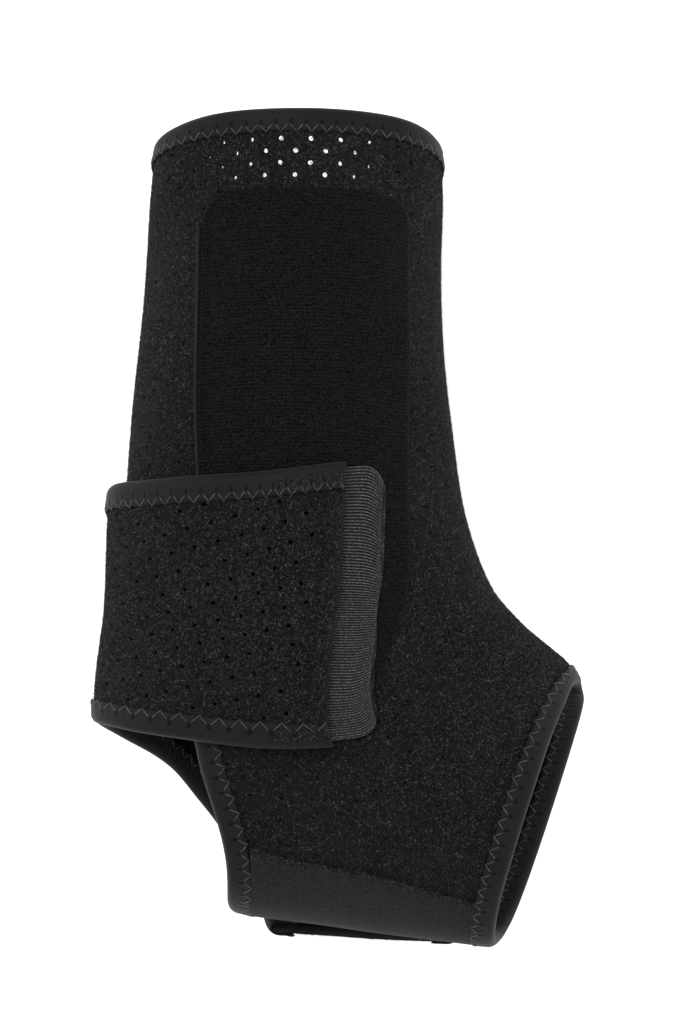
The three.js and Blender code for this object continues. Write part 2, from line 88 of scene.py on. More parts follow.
# Places are shares: around from -1 to 1, with the back fold at 0, and along from 0 to 1
Oval = namedtuple("Oval", "along half_along half_around")
HEEL = Oval(0.705, 0.135, 0.262)
PanelRow = namedtuple("PanelRow", "along back front")
PANEL = [
    PanelRow(0.121, 0.266, 0.812),
    PanelRow(0.27, 0.277, 0.81),
    PanelRow(0.42, 0.289, 0.778),
    PanelRow(0.57, 0.306, 0.724),
    PanelRow(0.69, 0.36, 0.635),
]
StrapRow = namedtuple("StrapRow", "low_around low_along up_around up_along")
STRAP = [
    StrapRow(0.495, 0.755, 0.62, 0.42),
    StrapRow(0.33, 0.706, 0.42, 0.431),
    StrapRow(0.16, 0.67, 0.19, 0.431),
    StrapRow(0.0, 0.647, -0.02, 0.424),
    StrapRow(-0.105, 0.664, -0.24, 0.45),
    StrapRow(-0.187, 0.698, -0.44, 0.54),
    StrapRow(-0.213, 0.75, -0.54, 0.7),
    StrapRow(-0.175, 0.808, -0.45, 0.86),
    StrapRow(-0.095, 0.848, -0.26, 0.945),
    StrapRow(-0.035, 0.866, -0.09, 0.972),
]
STRAP_DROP = (0.4, 1.3)  # the rows between which it comes down from the tab to the leg
SOLE_PANEL = namedtuple("SolePanel", "low high bow")(-0.03, 0.222, 0.02)

# Slow waves of the cloth: height in mm, waves around, waves along, start
Wave = namedtuple("Wave", "height around along start")
WAVES = [Wave(0.3, 3, 2.3, 0.4), Wave(0.22, 5, -4.1, 1.9), Wave(0.16, 8, 6.7, 0.8)]
WAVE_START, WAVE_STOP = (-0.06, 0.1), (0.9, 1.0)  # shares around where they rise and die away

# Holes of the sleeve: steps round it, steps between holes, the first row with holes, rows of
# the close band at the calf, and rows and steps that stay whole at the toe and at the folds
SLEEVE_STEPS, HOLE_STEP, FIRST_ROW, BAND_ROWS, END_ROWS, FOLD = 156, 3, 7, 18, 4, 6
BAND_PITCH, REST_PITCH, SLEEVE_GIRTH, HOLE_INSET = 3.5, 1.43, 219, 0.3  # in millimetres
BAND_HOLES, OTHER_HOLES = 1.1, 0.75  # shares of the hole radius
HEEL_CUT, HEEL_CLEAR, HEEL_SIDE = 1.08, 6, 0.3  # where cloth and holes stop at the heel
CALF_Y, CALF_Z, CALF_HOLE_LEAN = 0.1, 0.03, 0.0006  # the near calf's holes, in metres

# Holes of the strap, in cells of its grid, and the groove of its hem, in millimetres
HOLE_SLANT, HOLE_REPEAT, TAPE_CELLS, END_CELLS, HOLES_SHARE = 3, 10, 8, 6, 0.42
HEM_GROOVE, HEM_SIDES, HEM_BARE, HOLE_BARE = 0.4, (0.3, 1.2), 0.35, 0.35

# How a tape folds and puckers and how its thread lies, in millimetres
TAPE_BEND, PUFF, PUFF_START, PUFF_FULL, HEM_DROP, HEM_WIDTH = 1.7, 0.22, 4.2, 2.6, 0.25, 0.7
STITCH_OVER, NEEDLE_ASIDE, THREAD_RISE, THREAD_SINK = 0.25, 0.3, 0.5, 0.35
NO_NEEDLES = 10 * TAPE_WIDTH  # moves a tape's map clear of the needle row
LAP_SHARE, PUFF_MIDDLE, THREAD_ROUND = 0.35, 0.35, 0.6  # two shares and a power
STITCH_STEPS, TAPE_STEPS, THREAD_STEPS = 6, 30, 4

# Panels and tab: shares of a wall that its cloth fills, sizes in millimetres, and powers that
# crowd the rows towards the upper end
WOVEN_SHARE, KNIT_SHARE = 0.8, 0.7
PANEL_WIDTH, SOLE_WIDTH, SOLE_LENGTH, SOLE_TUCK, PIPING_CLOTH = 60, 30, 60, 0.6, 0.25
TAB_RIB, TAB_RIB_PITCH = 0.12, 0.84
PANEL_CROWD, TAB_CROWD = 1.4, 1.5
PANEL_GRID, PIPING_GRID, SOLE_GRID, TAB_GRID = (220, 90), (160, 8), (90, 50), (20, 564)
PANEL_RIM, SOLE_RIM, TAB_RIM = (0.55, 1.1), (0.3, 0.8), (0.5, 0.8)  # drop and reach of rims
MERGE = 1e-6  # vertices closer than this are one, in metres

# Fibres: lean in degrees, roll in radians, shares of length and width, and spread of shades
FIBRE_LEAN, FIBRE_ROLL = (8, 40), (-0.9, 0.9)
# The bright tail of the fibres' shades is painted glints, as painted highlights
FIBRE_LENGTHS, FIBRE_WIDTHS, FIBRE_SHADES_AND_GLINTS = (0.5, 1.25), (0.6, 1.3), (0.45, 3.4)
PILE_EDGE, PILE_HEEL = 5.7, 1.14  # where the pile starts at a rim and at the heel
FAR_WALL_SHARE = 0.32  # of the sleeve's fibres
SEEN_SHARE = 0.38  # of the strap's length, with half of its fibres
SOLE_FIBRES, SOLE_FIBRES_FROM, SOLE_FIBRES_OVER = 4000, 1.01, 0.09  # over the sole panel's top

# Studio: lamps with place and width in metres and power in watts, floor and camera
Lamp = namedtuple("Lamp", "name place size power")
LAMPS = [
    Lamp("key_light", (-0.35, 0.45, 1.1), 0.7, 9.2),
    Lamp("fill_light", (0.6, -0.3, 0.9), 0.9, 2.5),
    Lamp("left_light", (-0.7, 0.05, 0.16), 0.3, 1.6),
    Lamp("right_light", (0.7, 0.05, 0.16), 0.3, 2.3),
    Lamp("sole_light", (-0.1, -0.7, 0.1), 0.3, 0.9),
]
WORLD_LIGHT, FLOOR_GLOW, FLOOR_SIZE, FLOOR_DROP = 0.5, 0.55, 3, 0.0003
CAMERA_PLACE, SENSOR, LENS_PIXELS, FRAME_HEIGHT = (0.0, 0.008, 0.625), 36, 2000, 1024


def catmull_rom(points, share):
    """Points on a smooth curve at the given shares, carried on straight beyond its ends."""
    points = np.asarray(points, float)
    padded = np.vstack([2 * points[0] - points[1], points, 2 * points[-1] - points[-2]])

    def inside(values):
        spot = np.clip(values, 0, 1) * (len(points) - 1)
        i = np.minimum(spot.astype(int), len(points) - 2)
        w = (spot - i)[..., None]
        p0, p1, p2, p3 = (padded[i + n] for n in range(4))
        m1, m2 = (p2 - p0) / 2, (p3 - p1) / 2
        square, cube = w * w, w * w * w
        curve = (2 * cube - 3 * square + 1) * p1 + (cube - 2 * square + w) * m1
        return curve + (3 * square - 2 * cube) * p2 + (cube - square) * m2

    share = np.asarray(share, float)
    held = np.clip(share, 0, 1)
    nudge = 1e-3
    back = inside(np.where(held > 0.5, held - nudge, held + nudge))
    beyond = np.abs(share - held)[..., None] / nudge
    return inside(held) + (inside(held) - back) * beyond


def smooth_rise(values, low, high):
    """0 below low, 1 above high and a smooth rise between."""
    share = np.clip((values - low) / (high - low), 0, 1)
    return share * share * (3 - 2 * share)


def rim_drop(distance, drop, reach):
    """How far a cloth's face drops at a distance from its edge."""
    return drop * (1 - smooth_rise(distance, 0.0, reach))


def heel_oval(around, along):
    """Squared distance from the middle of the heel opening, with its edge at 1."""
    return (around / HEEL.half_around) ** 2 + ((along - HEEL.along) / HEEL.half_along) ** 2


class SleeveFace:
    """The outer face of the sleeve as a fine table that any place is read from."""

    def __init__(self, rows=521, turns=1200, samples=64):
        self.rows, self.turns = rows, turns
        self.low, self.high = -0.1, 1.1
        along = np.linspace(self.low, self.high, rows)
        turn = np.linspace(-1, 1, turns + 1)
        back = catmull_rom(
            [(s.back_x * REACH, s.back_y * LENGTH, s.far * STRAP_STACK) for s in SECTIONS], along
        )
        front = catmull_rom(
            [(s.front_x * REACH, s.front_y * LENGTH, s.near * DEPTH) for s in SECTIONS], along
        )
        slide = catmull_rom([(s.slide * SLIDE,) for s in SECTIONS], along)[:, 0]
        face = np.empty((rows, turns + 1, 3))
        for n in range(rows):
            section = self.section(back[n], front[n], slide[n])
            for side in (-1, 1):
                angles = side * np.pi * np.arange(samples + 1) / samples
                steps = np.linalg.norm(np.diff(section(angles), axis=0), axis=1)
                lengths = np.concatenate([[0], np.cumsum(steps)])
                here = turn >= 0 if side > 0 else turn < 0
                wanted = np.abs(turn[here]) * lengths[-1]
                face[n, here] = section(np.interp(wanted, lengths, angles))
        face -= ORIGIN
        ring = face[:, :-1]
        across = (np.roll(ring, -1, 1) - np.roll(ring, 1, 1)) * turns / 4
        across = np.concatenate([across, across[:, :1]], 1)
        down = np.gradient(face, along, axis=0)
        normal = np.cross(down, across)
        normal /= np.linalg.norm(normal, axis=2, keepdims=True)
        self.table = np.concatenate([face, across, down, normal], 2)

    @staticmethod
    def section(back, front, slide):
        """A section's point at each angle."""
        floor = max(back[2], RIM_STACK)
        crest = floor + front[2]
        side = floor + (crest - floor) * SIDE_HEIGHT
        half = (back[:2] - front[:2]) / 2
        middle = (back[:2] + front[:2]) / 2
        upstream = np.array((half[1], -half[0])) / np.hypot(*half)

        def point(angles):
            cosine, sine = np.cos(angles), np.abs(np.sin(angles))
            across = np.sign(cosine) * np.abs(cosine) ** (2 / PLAN_FULLNESS)
            near = (crest - side) * sine ** (2 / NEAR_FULLNESS)
            far = (floor - side) * sine ** (2 / FAR_FULLNESS)
            rise = np.where(angles >= 0, near, far)
            shift = slide * rise / (crest - floor)
            plan = middle + np.outer(across, half) + np.outer(shift, upstream)
            return np.column_stack([plan, side + rise])

        return point

    def read(self, around, along):
        """Point, slope across, slope down and normal at each place."""
        around, along = np.broadcast_arrays(np.asarray(around, float), np.asarray(along, float))
        around = (around + 1) % 2 - 1
        u = (around + 1) / 2 * self.turns
        v = (np.clip(along, self.low, self.high) - self.low) / (self.high - self.low)
        v = v * (self.rows - 1)
        i = np.minimum(v.astype(int), self.rows - 2)
        j = np.minimum(u.astype(int), self.turns - 1)
        a, b = (v - i)[..., None], (u - j)[..., None]
        t = self.table
        top = t[i, j] * (1 - b) + t[i, j + 1] * b
        low = t[i + 1, j] * (1 - b) + t[i + 1, j + 1] * b
        return np.split(top * (1 - a) + low * a, 4, axis=-1)


FACE = SleeveFace()


def cloth_waves(around, along):
    """The slow waves of the cloth, which die away on the wall that lies on the floor."""
    total = sum(
        w.height * np.sin(np.pi * w.around * around + 2 * np.pi * w.along * along + w.start)
        for w in WAVES
    )
    turned = (np.asarray(around) + 1) % 2 - 1
    return total * smooth_rise(turned, *WAVE_START) * (1 - smooth_rise(turned, *WAVE_STOP))


def on_sleeve(around, along, out):
    """Places in metres, moved out from the sleeve's face by a distance in millimetres."""
    point, _, _, normal = FACE.read(around, along)
    out = np.asarray(out + cloth_waves(around, along))[..., None]
    return (point + normal * out) * MM


def step_on(around, along, towards_around, towards_along, distance):
    """Moves places along the face by a distance, in directions given in shares."""
    _, across, down, _ = FACE.read(around, along)
    pull = across * towards_around[..., None] + down * towards_along[..., None]
    share = distance / np.linalg.norm(pull, axis=-1)
    return around + towards_around * share, along + towards_along * share


def square_to(around, along, line_around, line_along):
    """The directions in shares that lie square to a line on the face."""
    _, across, down, _ = FACE.read(around, along)
    tangent = across * line_around[..., None] + down * line_along[..., None]
    aside = np.cross(tangent, np.cross(down, across))
    aside /= np.linalg.norm(aside, axis=-1, keepdims=True)
    aa, ad, dd = (np.sum(p * q, -1) for p, q in ((across, across), (across, down), (down, down)))
    pa, pd = np.sum(aside * across, -1), np.sum(aside * down, -1)
    scale = aa * dd - ad * ad
    return (pa * dd - pd * ad) / scale, (pd * aa - pa * ad) / scale


def heel_edge(k):
    """The edge of the heel opening, with the way from it into the fabric."""
    angle = 2 * np.pi * np.asarray(k, float)
    around = HEEL.half_around * np.sin(angle)
    along = HEEL.along + HEEL.half_along * np.cos(angle)
    line = HEEL.half_around * np.cos(angle), -HEEL.half_along * np.sin(angle)
    return (around, along, 0 * angle, *square_to(around, along, *line))


def rim_edge(along, inwards):
    """An end of the sleeve, as an edge for a tape."""

    def edge(k):
        k = np.asarray(k, float)
        return 2 * k - 1, along + 0 * k, 0 * k, 0 * k, inwards + 0 * k

    return edge


LOW_LINE = [(r.low_around, r.low_along) for r in STRAP]
UP_LINE = [(r.up_around, r.up_along) for r in STRAP]


def strap_place(k, t):
    """Around, along and lift of the strap's inner face."""
    k, t = np.broadcast_arrays(np.asarray(k, float), np.asarray(t, float))
    low, up = catmull_rom(LOW_LINE, k), catmull_rom(UP_LINE, k)
    drop = smooth_rise(k * (len(STRAP) - 1), *STRAP_DROP)
    spot = low + (up - low) * t[..., None]
    return spot[..., 0], spot[..., 1], STRAP_END_LIFT + (STRAP_LIFT - STRAP_END_LIFT) * drop


def strap_edge(t):
    """A long edge of the strap, lower at 0 and upper at 1."""

    def edge(k):
        around, along, lift = strap_place(k, t)
        other_around, other_along, _ = strap_place(k, 1 - t)
        return around, along, lift, other_around - around, other_along - along

    return edge


def line_length(place, steps=200):
    """The length in millimetres of the line that place(k) draws."""
    points = on_sleeve(*place(np.linspace(0, 1, steps + 1)))
    return np.linalg.norm(np.diff(points, axis=0), axis=1).sum() / MM


STRAP_LENGTH = line_length(lambda k: strap_place(k, 0.5))
STRAP_WIDTH = line_length(lambda t: strap_place(0.0, t))
PER_LENGTH = 1e-3 / line_length(lambda k: strap_place(k * 1e-3, 0.5), 2)
PER_WIDTH = 1 / STRAP_WIDTH
HEM_LINE = 16  # from the strap's end to the seam of its hem, in millimetres
STRAP_CELL = 0.965  # a step of the strap's grid, in millimetres
STRAP_STEPS, STRAP_WIDTHS = round(STRAP_LENGTH / STRAP_CELL), round(STRAP_WIDTH / STRAP_CELL)


def strap_end_edge(k):
    """The strap's end between the tapes of its long edges."""
    clear = (TAPE_WIDTH + 2 * GAP) * PER_WIDTH
    t = clear + (1 - 2 * clear) * np.asarray(k, float)
    around, along, lift = strap_place(0.0, t)
    next_around, next_along, _ = strap_place(1e-3, t)
    return around, along, lift, next_around - around, next_along - along


def corner_cut(distance, radius):
    """How far a rounded corner cuts in at a distance from its end."""
    rest = np.clip(radius - distance, 0, radius)
    return radius - np.sqrt(radius * radius - rest * rest)


def panel_place(k, t):
    """The knitted panel with its round top corners."""
    k, t = np.broadcast_arrays(np.asarray(k, float), np.asarray(t, float))
    back = catmull_rom([(r.back, r.along) for r in PANEL], k)
    front = catmull_rom([(r.front, r.along) for r in PANEL], k)
    start = FACE.read(PANEL[0].back, PANEL[0].along)[0]
    corner = FACE.read(back[..., 0], back[..., 1])[0]
    other = FACE.read(front[..., 0], front[..., 1])[0]
    distance = np.linalg.norm(corner - start, axis=-1)
    inset = corner_cut(distance, PANEL_CORNER) / np.linalg.norm(other - corner, axis=-1)
    spot = back + (front - back) * (inset + (1 - 2 * inset) * t)[..., None]
    return spot[..., 0], spot[..., 1]


def sole_panel_place(k, t):
    """The sole panel between the heel tape and the toe tape."""
    high = SOLE_PANEL.high + SOLE_PANEL.bow * np.sin(np.pi * k)
    around = SOLE_PANEL.low + (high - SOLE_PANEL.low) * t
    clear = TAPE_WIDTH - SOLE_TUCK
    bend = np.sqrt(1 - (around / HEEL.half_around) ** 2)
    heel = HEEL.along + HEEL.half_along * bend
    one = np.ones_like(around)
    _, start = step_on(around, heel, 0 * one, one, clear / bend)
    _, end = step_on(around, one, 0 * one, -one, clear)
    return around, start + (end - start) * k


def tab_place(k, t):
    """The hook tab under the strap's end."""
    distance = -TAB_REACH + (TAB_REACH + TAB_ROOT) * k
    inset = (TAB_MARGIN + corner_cut(distance + TAB_REACH, TAB_CORNER)) * PER_WIDTH
    around, along, _ = strap_place(distance * PER_LENGTH, inset + (1 - 2 * inset) * t)
    return around, along


def patch(place, steps, widths, size):
    """A grid laid on the brace. place(k, t) gives around, along and out, and size is the
    patch's length and width in millimetres, for its UV map."""
    bm = bmesh.new()
    uv = bm.loops.layers.uv.new("cloth")
    bmesh.ops.create_grid(bm, x_segments=steps, y_segments=widths, size=0.5)
    flat = np.array([v.co[:2] for v in bm.verts]) + 0.5
    for f in bm.faces:
        f.smooth = True
        for loop in f.loops:
            k, t = loop.vert.co.x + 0.5, loop.vert.co.y + 0.5
            loop[uv].uv = (k * size[0], t * size[1])
    around, along, out = place(flat[:, 0], flat[:, 1])
    places = on_sleeve(around, along, out)
    for vert, spot in zip(bm.verts, places):
        vert.co = spot
    bm.normal_update()
    sample = list(bm.faces)[:: max(1, len(bm.faces) // 40)]
    outward = FACE.read(around, along)[3]
    score = sum(f.normal.dot(Vector(outward[f.verts[0].index])) for f in sample)
    if score < 0:
        bmesh.ops.reverse_faces(bm, faces=bm.faces)
    return bm


def thicken(bm, wall):
    """Gives cloth its thickness, inwards from the face it was laid on."""
    bm.normal_update()
    bmesh.ops.solidify(bm, geom=bm.faces[:], thickness=wall * MM)
    for f in bm.faces:
        f.smooth = True


def perforate(bm, chosen, radius):
    """Opens a small eight-sided hole at each of the chosen vertices."""
    around = list(dict.fromkeys(f for v in chosen for f in v.link_faces))
    holes = bmesh.ops.dissolve_faces(bm, faces=around)["region"]
    bmesh.ops.inset_individual(
        bm, faces=holes, thickness=HOLE_INSET * MM, use_even_offset=True, use_interpolate=True
    )
    for f in holes:
        centre = f.calc_center_median()
        for v in f.verts:
            v.co = centre + (v.co - centre).normalized() * radius * MM
    bmesh.ops.delete(bm, geom=holes, context="FACES")


def finish_piece(bm, name, material, slot, *nodes):
    """Turns a bmesh into a piece that rides on the part and replaces CAD nodes."""
    mesh = bpy.data.meshes.new(name)
    bm.to_mesh(mesh)
    bm.free()
    return place_piece(mesh, material, slot, *nodes)


def place_piece(mesh, material, slot, *nodes):
    """Makes a mesh a piece, rides it on the part and hides the CAD nodes it stands for."""
    piece = bpy.data.objects.new(mesh.name, mesh)
    bpy.context.scene.collection.objects.link(piece)
    mesh.materials.clear()
    mesh.materials.append(bpy.data.materials[material])
    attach(piece, "root")
    if nodes:
        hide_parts(*nodes)


def zigzag_count(edge):
    """How many stitches fit an edge."""
    pitch = bpy.context.scene.brace_sizes.stitch_pitch / MM
    return round(line_length(lambda k: edge(k)[:3]) / pitch)


def tape_profile(s, inner, outer, width):
    """Distance in from the edge and out from the face across a folded tape, at shares s."""
    half = (outer - inner) / 2 + TAPE_TOP
    middle = (outer + inner) / 2
    other_lap = 1 - LAP_SHARE
    turn = np.clip((s - LAP_SHARE) / (other_lap - LAP_SHARE), 0, 1) * np.pi
    lap = np.where(
        s < LAP_SHARE, 1 - s / LAP_SHARE, np.where(s > other_lap, (s - other_lap) / LAP_SHARE, 0)
    )
    inwards = TAPE_BEND + (width - TAPE_BEND) * lap - (TAPE_TOP + TAPE_BEND) * np.sin(turn)
    return inwards, middle + half * np.cos(turn)


def make_tape(name, node, edge, inner, outer, width, closed, stitched=True, cloth="smooth_tape"):
    """A tape folded over an edge, puckered by its zigzag stitches."""
    count = zigzag_count(edge)
    length = line_length(lambda k: edge(k)[:3])

    def place(k, t):
        around, along, lift, *inwards = edge(k)
        depth, out = tape_profile(t, inner, outer, width)
        around, along = step_on(around, along, *inwards, depth)
        middle = (outer + inner) / 2
        held = smooth_rise(depth, width - PUFF_START, width - PUFF_FULL)
        puff = PUFF * held * (np.abs(np.sin(np.pi * k * count)) - PUFF_MIDDLE) * stitched
        hem = HEM_DROP * smooth_rise(depth, width - HEM_WIDTH, width)
        return around, along, lift + out + np.sign(out - middle) * (puff - hem)

    bm = patch(place, count * STITCH_STEPS, TAPE_STEPS, (length, 1))
    uv = bm.loops.layers.uv["cloth"]
    for f in bm.faces:
        for loop in f.loops:
            depth = tape_profile(np.array(loop[uv].uv.y), inner, outer, width)[0]
            loop[uv].uv.y = depth if stitched else depth + NO_NEEDLES
    if closed:
        bmesh.ops.remove_doubles(bm, verts=bm.verts, dist=MERGE)
    thicken(bm, TAPE * WOVEN_SHARE)
    finish_piece(bm, name, cloth, "tape", node)


def make_stitches(name, edge, inner, outer, width):
    """Zigzag thread over the tape's laps, dipping in at each needle hole."""
    sizes = bpy.context.scene.brace_sizes
    k = np.linspace(0, 1, 2 * zigzag_count(edge) * THREAD_STEPS + 1)
    phase = np.arange(len(k)) / THREAD_STEPS
    swing = np.abs((phase + 1) % 2 - 1)
    rise = THREAD_RISE * np.sin(np.pi * (phase % 1)) ** THREAD_ROUND - THREAD_SINK
    middle, half = (outer + inner) / 2, (outer - inner) / 2 + TAPE_TOP
    around, along, lift, *inwards = edge(k)
    depth = width + STITCH_OVER - sizes.stitch_width / MM * swing
    around, along = step_on(around, along, *inwards, depth)
    curve = bpy.data.curves.new(name, "CURVE")
    curve.dimensions = "3D"
    curve.bevel_depth = sizes.thread / 2
    curve.bevel_resolution = 1
    for side in (1, -1):
        points = on_sleeve(around, along, lift + middle + side * (half + rise))
        spline = curve.splines.new("POLY")
        spline.points.add(len(points) - 1)
        spline.points.foreach_set("co", np.column_stack([points, np.ones(len(points))]).ravel())
    holder = bpy.data.objects.new(name + "_curve", curve)
    mesh = bpy.data.meshes.new_from_object(holder)
    mesh.name = name
    bpy.data.objects.remove(holder)
    place_piece(mesh, "thread", "tape")


def inside_line(around, along, line):
    """True for each place that lies inside a closed line, by counting crossings."""
    inside = np.zeros(len(around), bool)
    for (a, b), (c, d) in zip(line, np.roll(line, -1, axis=0)):
        crosses = (b > along) != (d > along)
        if b != d:
            inside ^= crosses & (around < (c - a) * (along - b) / (d - b) + a)
    return inside


# Strips that cover the sleeve's pile: where each starts, and its two long lines
Cover = namedtuple("Cover", "place steps start low high")
COVERS = [
    Cover(panel_place, 40, 0, 0.0, 1.0),
    Cover(sole_panel_place, 24, 0, 0.0, 0.97),
    Cover(strap_place, 60, 0.02, 0.05, 0.95),
]


def bare_pile(around, along):
    """True where the sleeve's pile shows, clear of the tapes, panels and strap."""
    here = FACE.read(around, along)[0]
    shown = heel_oval(around, along) > PILE_HEEL ** 2
    for rim in (0.0, 1.0):
        distance = np.linalg.norm(here - FACE.read(around, rim)[0], axis=-1)
        shown &= distance > PILE_EDGE
    for cover in COVERS:
        k = np.linspace(cover.start, 1, cover.steps)
        low, high = (
            np.column_stack(cover.place(k, t + 0 * k)[:2]) for t in (cover.low, cover.high)
        )
        shown &= ~inside_line(around, along, np.vstack([low, high[::-1]]))
    return shown


def strap_hole_at(column, row):
    """True where the strap's slanting pattern has a hole, in double steps of its grid."""
    return (column + HOLE_SLANT * row) % HOLE_REPEAT == 0


def strap_fibres(rng, count, lengths, widths, lift):
    """Places for fibres on a stretch of the strap, in millimetres from its end and its lower
    edge. They leave the holes, and the seam near the end, bare."""
    distance = rng.uniform(*lengths, count)
    t = rng.uniform(*widths, count) * PER_WIDTH
    row, column = t * STRAP_WIDTHS / 2, distance / STRAP_LENGTH * STRAP_STEPS / 2
    near_row, near_column = np.round(row), np.round(column)
    bare = np.hypot(column - near_column, row - near_row) < HOLE_BARE
    bare &= strap_hole_at(near_column, near_row)
    bare |= np.abs(distance - HEM_LINE) < HEM_BARE
    around, along, rise = strap_place(distance[~bare] / STRAP_LENGTH, t[~bare])
    return around, along, rise + lift


def make_pile(name, zones, seed):
    """Short fibres, one narrow blade each, rooted at zones of around, along and out. The
    blades are loose triangles, which no operator makes in such numbers."""
    sizes = bpy.context.scene.brace_sizes
    rng = np.random.default_rng(seed)
    around, along, out = (np.concatenate(part) for part in zip(*zones))
    count = len(around)
    _, across, _, normal = FACE.read(around, along)
    across = across / np.linalg.norm(across, axis=1, keepdims=True)
    aside = np.cross(normal, across)
    turn = rng.uniform(0, 2 * np.pi, count)[:, None]
    flat = across * np.cos(turn) + aside * np.sin(turn)
    tilt = np.radians(rng.uniform(*FIBRE_LEAN, count))[:, None]
    way = flat * np.cos(tilt) + normal * np.sin(tilt)
    roll = rng.uniform(*FIBRE_ROLL, count)[:, None]
    broad = np.cross(way, normal) * np.cos(roll) + normal * np.sin(roll)
    length = sizes.fibre_length * rng.uniform(*FIBRE_LENGTHS, count)[:, None]
    half = sizes.fibre_width / 2 * rng.uniform(*FIBRE_WIDTHS, count)[:, None]
    root = on_sleeve(around, along, out)
    corners = np.stack([root - broad * half, root + broad * half, root + way * length], 1)
    mesh = bpy.data.meshes.new(name)
    mesh.vertices.add(3 * count)
    mesh.vertices.foreach_set("co", corners.ravel())
    mesh.loops.add(3 * count)
    mesh.loops.foreach_set("vertex_index", np.arange(3 * count))
    mesh.polygons.add(count)
    mesh.polygons.foreach_set("loop_start", np.arange(count) * 3)
    # Each fibre's shade, from dark to light; the light tail is painted glints
    shades_and_glints = rng.beta(*FIBRE_SHADES_AND_GLINTS, count)
    uv = np.stack([np.repeat(shades_and_glints, 3), np.tile((0.0, 0.0, 1.0), count)], 1)
    mesh.uv_layers.new(name="cloth").data.foreach_set("uv", uv.ravel())
    mesh.update(calc_edges=True)
    place_piece(mesh, "pile_fibre", "pile")


def feed(tree, socket, value):
    """Links a socket to another one, or sets its value."""
    if isinstance(value, bpy.types.NodeSocket):
        tree.links.new(value, socket)
    else:
        socket.default_value = value


def add_node(tree, kind, inputs=None, **settings):
    """A node with its settings, values and links."""
    node = tree.nodes.new(kind)
    for key, value in settings.items():
        setattr(node, key, value)
    for key, value in (inputs or {}).items():
        feed(tree, node.inputs[key], value)
    return node


def math_node(tree, operation, *values):
    """The result of a Math node."""
    node = add_node(tree, "ShaderNodeMath", dict(enumerate(values)), operation=operation)
    return node.outputs[0]


def weigh(tree, first, first_share, second, second_share):
    """The sum of two values, each times its share."""
    other = math_node(tree, "MULTIPLY", second, second_share)
    return math_node(tree, "MULTIPLY_ADD", first, first_share, other)


def ramp(tree, value, low, high, to_low=0.0, to_high=1.0):
    """The result of a smooth Map Range node."""
    inputs = dict(zip(("Value", "From Min", "From Max", "To Min", "To Max"),
                      (value, low, high, to_low, to_high)))
    node = add_node(tree, "ShaderNodeMapRange", inputs, interpolation_type="SMOOTHSTEP")
    return node.outputs[0]


def blend_colours(tree, share, dark, light):
    """The result of a colour Mix node, whose colours are inputs 6 and 7 and output 2."""
    inputs = {"Factor": share}
    node = add_node(tree, "ShaderNodeMix", inputs, data_type="RGBA")
    feed(tree, node.inputs[6], dark)
    feed(tree, node.inputs[7], light)
    return node.outputs[2]


def new_group(name, inputs, outputs):
    """An empty shader node group with its sockets."""
    group = bpy.data.node_groups.new(name, "ShaderNodeTree")
    for label, default in inputs.items():
        kind = "NodeSocketVector" if default is None else "NodeSocketFloat"
        socket = group.interface.new_socket(label, in_out="INPUT", socket_type=kind)
        if default is not None:
            socket.default_value = default
    for label in outputs:
        group.interface.new_socket(label, in_out="OUTPUT", socket_type="NodeSocketFloat")
    given = group.nodes.new("NodeGroupInput").outputs
    return group, given, group.nodes.new("NodeGroupOutput").inputs


def build_grain_group():
    """Matted fibres: fine grain broken up by slower clumps, and slow patches."""
    group, given, out = new_group(
        "matted_grain", {"Vector": None, "Fine": 2600.0, "Clumps": 700.0, "Patches": 60.0},
        ("Grain", "Patch"),
    )
    fine, clumps, patches = (
        add_node(
            group, "ShaderNodeTexNoise",
            {"Vector": given["Vector"], "Scale": given[key], "Detail": detail},
        ).outputs[0]
        for key, detail in (("Fine", 3.0), ("Clumps", 2.0), ("Patches", 3.0))
    )
    feed(group, out["Grain"], ramp(group, weigh(group, fine, 0.65, clumps, 0.35), 0.36, 0.66))
    feed(group, out["Patch"], ramp(group, patches, 0.3, 0.7))


def build_rib_group():
    """Ribs that run across a piece at a pitch, with a little wander."""
    group, given, out = new_group(
        "knit_ribs", {"Along": 0.0, "Pitch": 0.9, "Wander": 0.1, "Vector": None}, ("Rib",)
    )
    inputs = {"Vector": given["Vector"], "Scale": 900.0}
    noise = add_node(group, "ShaderNodeTexNoise", inputs).outputs[0]
    drift = math_node(group, "SUBTRACT", noise, 0.5)
    drift = math_node(group, "MULTIPLY", drift, given["Wander"])
    turns = math_node(group, "DIVIDE", given["Along"], given["Pitch"])
    angle = math_node(group, "MULTIPLY", math_node(group, "ADD", turns, drift), 2 * math.pi)
    wave = math_node(group, "SINE", angle)
    feed(group, out["Rib"], math_node(group, "MULTIPLY_ADD", wave, 0.5, 0.5))


def build_needle_group():
    """Where a zigzag's needle holes sit, read from a tape's UV map, for dents and painted shade."""
    group, given, out = new_group(
        "needle_holes", {"Along": 0.0, "Inwards": 0.0, "Pitch": 4.3, "Row": 4.0, "Size": 0.8},
        ("Hole",),
    )
    turns = math_node(group, "DIVIDE", given["Along"], given["Pitch"])
    nearest = math_node(group, "SUBTRACT", math_node(group, "FRACT", turns), 0.5)
    aside = math_node(group, "MULTIPLY", nearest, given["Pitch"])
    inwards = math_node(group, "SUBTRACT", given["Inwards"], given["Row"])
    longer = math_node(group, "MULTIPLY", inwards, 0.55)
    square = math_node(group, "MULTIPLY", aside, aside)
    square = math_node(group, "ADD", square, math_node(group, "MULTIPLY", longer, longer))
    spot = math_node(group, "DIVIDE", math_node(group, "SQRT", square), given["Size"])
    feed(group, out["Hole"], ramp(group, spot, 0.25, 1.0, 1.0, 0.0))


